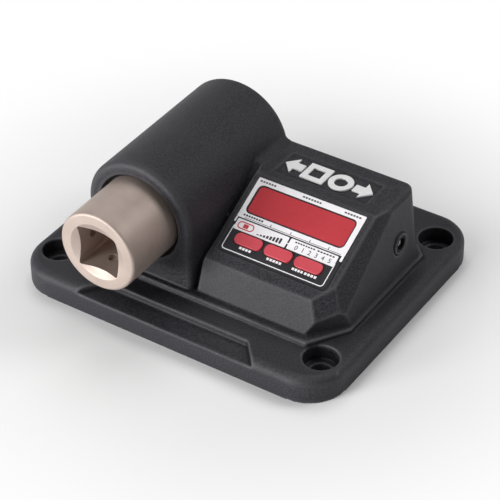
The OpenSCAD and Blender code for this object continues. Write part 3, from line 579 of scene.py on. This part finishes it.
blue_sleeve = finish("blue_sleeve", (0.02, 0.03, 0.12), (0.04, 0.05, 0.18), (0.2, 0.35))
dress("supply_capacitor", blue_sleeve)
display_face = finish("display_face", (0.07, 0.008, 0.01), (0.1, 0.012, 0.015), (0.25, 0.35))
dress("display_module", display_face)
red_jacket = finish("red_jacket", (0.35, 0.01, 0.01), (0.45, 0.02, 0.02), (0.35, 0.5))
lead_piece("supply_lead", SUPPLY_LEAD_ROUTE, SUPPLY_LEAD_RADIUS, red_jacket, "supply_leads")

# Display window
# A plate of red tinted plastic with its lip behind the film, whose raised middle fills the
# film's opening.
window_red = finish("window_red", (0.45, 0.044, 0.054), (0.52, 0.052, 0.064), (0.25, 0.35),
                    blotch=40, relief=0.0, Specular_IOR_Level=0.2)
dress("display_window", window_red)

# Printed film
# A black plastic film with rounded corners, bonded to the sloped panel. It is printed in white:
# a frame round the window with an ear down each side, two cells under it and a line round the
# keys.
PANEL_SLOPE = math.radians(27)
FILM_THICKNESS = 0.5 * MM
FILM_MIDDLE = Vector((31, 19.7))
PRINT_THICKNESS = 0.04
PRINT_CORNER_STEPS = 5
# Each printed rectangle is left, right, top, bottom and corner radius, measured across from the
# middle of the tester and down from the crease over the panel.
FRAME_OUTSIDE = (4.95, 57.05, 1.55, 21.3, 0.5)
FRAME_INSIDE = (6.9, 54.7, 4.4, 18.6, 2.5)
EARS = ((4.95, 5.7, 21.3, 23.8, 0.3), (55.9, 57.05, 21.3, 23.8, 0.3))
CELLS = ((6.3, 31.4, 21.9, 27, 0.5), (32.2, 54.9, 21.9, 27, 0.5))
LINE_OUTSIDE = (5.9, 55.2, 24.5, 36.9, 1.5)
LINE_INSIDE = (6.3, 54.8, 24.9, 36.5, 1.2)

film_black = finish("film_black", (0.018, 0.018, 0.022), (0.026, 0.026, 0.03), (0.3, 0.42),
                    relief=0.05)
dress("printed_film", film_black)
film_low, film_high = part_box("printed_film")
film_centre = (film_low + film_high) / 2
panel_turn = Matrix.Rotation(PANEL_SLOPE, 4, "X")
panel_normal = panel_turn @ Vector((0, 0, 1))
film_top = (Matrix.Translation(film_centre + panel_normal * FILM_THICKNESS / 2) @ panel_turn
            @ Matrix.Scale(MM, 4))


def on_film(x, drop, height=0.0):
    """A place on the film: across from the middle of the tester and down from the crease"""
    return Vector((x - FILM_MIDDLE.x, FILM_MIDDLE.y - drop, height))


def add_rectangle(mesh, left, right, top, bottom, radius):
    """A rectangle with round corners on the film, from a square of one millimetre"""
    centre = on_film((left + right) / 2, (top + bottom) / 2)
    size = Matrix.Diagonal((right - left, bottom - top, 1, 1))
    made = bmesh.ops.create_grid(mesh, x_segments=1, y_segments=1, size=0.5,
                                 matrix=Matrix.Translation(centre) @ size)
    if radius:
        bmesh.ops.bevel(mesh, geom=made["verts"], offset=radius, segments=PRINT_CORNER_STEPS,
                        affect="VERTICES", profile=0.5, material=-1)


def print_piece(name, rectangles, ink, thickness=PRINT_THICKNESS, hole=None):
    """Thin print on the film, with a hole in it where one is given"""
    mesh = bmesh.new()
    for rectangle in rectangles:
        add_rectangle(mesh, *rectangle)
    if hole:
        add_rectangle(mesh, *hole)
        bmesh.ops.delete(mesh, geom=mesh.faces[:], context="FACES_ONLY")
        bmesh.ops.triangle_fill(mesh, use_beauty=True, edges=mesh.edges[:])
    thicken(mesh, thickness)
    bmesh.ops.transform(mesh, matrix=film_top, verts=mesh.verts[:])
    add_piece(name, mesh, ink, "tester", smooth_angle=30)


white_ink = finish("white_ink", (0.84, 0.82, 0.84), (0.9, 0.88, 0.9), (0.35, 0.5), blotch=200)
print_piece("print_frame", [FRAME_OUTSIDE], white_ink, hole=FRAME_INSIDE)
print_piece("print_ears", EARS, white_ink)
print_piece("print_cells", CELLS, white_ink)
print_piece("print_line", [LINE_OUTSIDE], white_ink, PRINT_THICKNESS / 2, hole=LINE_INSIDE)

# Marks on the film
# Plain marks printed over the white in dark and red ink: dashes, a tick scale, a rising scale,
# numbers and a small square drive sign. A row of white dashes stands under each key.
OVER_PRINT = 2 * PRINT_THICKNESS
# Each row of dashes is left, right, top, bottom, count and gap.
TOP_DASHES = ((6.2, 13.8, 2.6, 3.3, 6, 0.4), (27.0, 36.0, 2.6, 3.3, 7, 0.4),
              (47.2, 55.0, 2.6, 3.3, 6, 0.4))
SCALE_DASHES = ((7.4, 17.0, 19.3, 20.1, 8, 0.35),)
SCALE_LINE = (8.6, 55.2, 20.75, 20.95, 0)
TICKS_AT = (21.1, 30.8, 40.1, 49.1)
TICK_TOP = 19.6
TICK_BOTTOM = 20.75
TICK_HALF_WIDTH = 0.15
CELL_DASHES = ((34.6, 44.0, 22.6, 23.2, 8, 0.4), (45.2, 53.4, 22.6, 23.2, 6, 0.4))
RAMP_LEFT = 17.4
RAMP_BARS = 8
RAMP_BAR_WIDTH = 1.0
RAMP_STEP = 1.5
RAMP_TOP = 25.7
RAMP_RISE = 0.3
SIGN_OUTSIDE = (7.4, 15.2, 22.7, 26.2, 1.6)
SIGN_INSIDE = (7.9, 14.7, 23.2, 25.7, 1.1)
SIGN_SQUARE = (10.1, 12.5, 23.5, 25.4, 0.2)
KEY_DASHES = ((13.6, 19.2, 33.5, 34.6, 4, 0.35), (27.0, 34.0, 33.5, 34.6, 5, 0.35),
              (39.2, 44.4, 33.5, 34.6, 4, 0.35), (45.1, 50.8, 33.5, 34.6, 4, 0.35))
NUMBERS = 6
NUMBER_SIZE = 2.9
NUMBER_LEFT = 36.2
NUMBER_STEP = 3.2
CELL_BASE_LINE = 26.1


def dashes(rows):
    """Rows of equal dashes"""
    made = []
    for left, right, top, bottom, count, gap in rows:
        step = (right - left + gap) / count
        made += [(left + i * step, left + (i + 1) * step - gap, top, bottom, 0)
                 for i in range(count)]
    return made


dark_ink = finish("dark_ink", (0.03, 0.03, 0.035), (0.05, 0.05, 0.055), (0.4, 0.5))
red_ink = finish("red_ink", (0.5, 0.03, 0.05), (0.58, 0.05, 0.07), (0.4, 0.5))
ticks = [(x - TICK_HALF_WIDTH, x + TICK_HALF_WIDTH, TICK_TOP, TICK_BOTTOM, 0) for x in TICKS_AT]
ramp_lefts = [RAMP_LEFT + RAMP_STEP * i for i in range(RAMP_BARS)]
ramp = [(left, left + RAMP_BAR_WIDTH, RAMP_TOP - RAMP_RISE * i, CELL_BASE_LINE, 0)
        for i, left in enumerate(ramp_lefts)]
print_piece("print_top_dashes", dashes(TOP_DASHES), dark_ink, OVER_PRINT)
print_piece("print_scale", [SCALE_LINE] + ticks + dashes(SCALE_DASHES), dark_ink, OVER_PRINT)
print_piece("print_cell_dashes", dashes(CELL_DASHES), dark_ink, OVER_PRINT)
print_piece("print_ramp", ramp, dark_ink, OVER_PRINT)
print_piece("print_drive_sign", [SIGN_OUTSIDE], red_ink, OVER_PRINT, hole=SIGN_INSIDE)
print_piece("print_drive_square", [SIGN_SQUARE], red_ink, OVER_PRINT)
print_piece("print_key_labels", dashes(KEY_DASHES), white_ink)
for number in range(NUMBERS):
    letters = bpy.data.curves.new("scale_number_%d" % number, "FONT")
    letters.body = str(number)
    letters.size = NUMBER_SIZE
    letters.align_x = "CENTER"
    letters.extrude = OVER_PRINT / 2
    figure = drawn_bmesh(letters)
    number_at = on_film(NUMBER_LEFT + NUMBER_STEP * number, CELL_BASE_LINE, OVER_PRINT / 2)
    bmesh.ops.transform(figure, matrix=film_top @ Matrix.Translation(number_at),
                        verts=figure.verts[:])
    add_piece("print_number_%d" % number, figure, dark_ink, "tester",
              smooth_angle=30)

# Keys
# Three moulded red plastic keys with round ends. Each stands in its own opening of the film,
# over the plunger of its switch, and has its edges rounded by the mould.
KEY_ROUNDING = 0.3 * MM
KEY_ROUNDING_STEPS = 3
KEY_FLAT = math.radians(0.5)
KEY_SHARP = math.radians(30)


def rounded_copy(node, material):
    """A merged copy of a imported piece, with its sharp edges rounded, in the piece's stead"""
    mesh = bmesh.new()
    mesh.from_mesh(frame["nodes"][node].data)
    bmesh.ops.remove_doubles(mesh, verts=mesh.verts, dist=SEAM)
    bmesh.ops.dissolve_limit(mesh, angle_limit=KEY_FLAT, verts=mesh.verts, edges=mesh.edges)
    piece = add_piece(node + "_finished", mesh, material, body_of_node[node])
    rounded_edges = piece.modifiers.new("rounded_edges", "BEVEL")
    rounded_edges.width = KEY_ROUNDING
    rounded_edges.segments = KEY_ROUNDING_STEPS
    rounded_edges.limit_method = "ANGLE"
    rounded_edges.angle_limit = KEY_SHARP
    rounded_edges.harden_normals = True
    rounded_edges.use_clamp_overlap = False
    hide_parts(node)


key_red = finish("key_red", (0.52, 0.05, 0.068), (0.6, 0.065, 0.088), (0.4, 0.55), relief=0.08)
for side in ("left", "middle", "right"):
    rounded_copy("key_" + side, key_red)

# Supply jack
# A panel jack of black plastic in the right wall, with a nickel plated centre pin. A ring nut,
# coated like the wall, holds it from outside.
jack_black = finish("jack_black", (0.006, 0.006, 0.007), (0.011, 0.011, 0.012), (0.5, 0.65),
                    Specular_IOR_Level=0.25)
dress("supply_jack", jack_black)
dress("jack_nut", paint)
nickel = finish("nickel", (0.7, 0.7, 0.68), (0.78, 0.78, 0.76), (0.12, 0.2), Metallic=1.0)
dress("jack_pin", nickel)
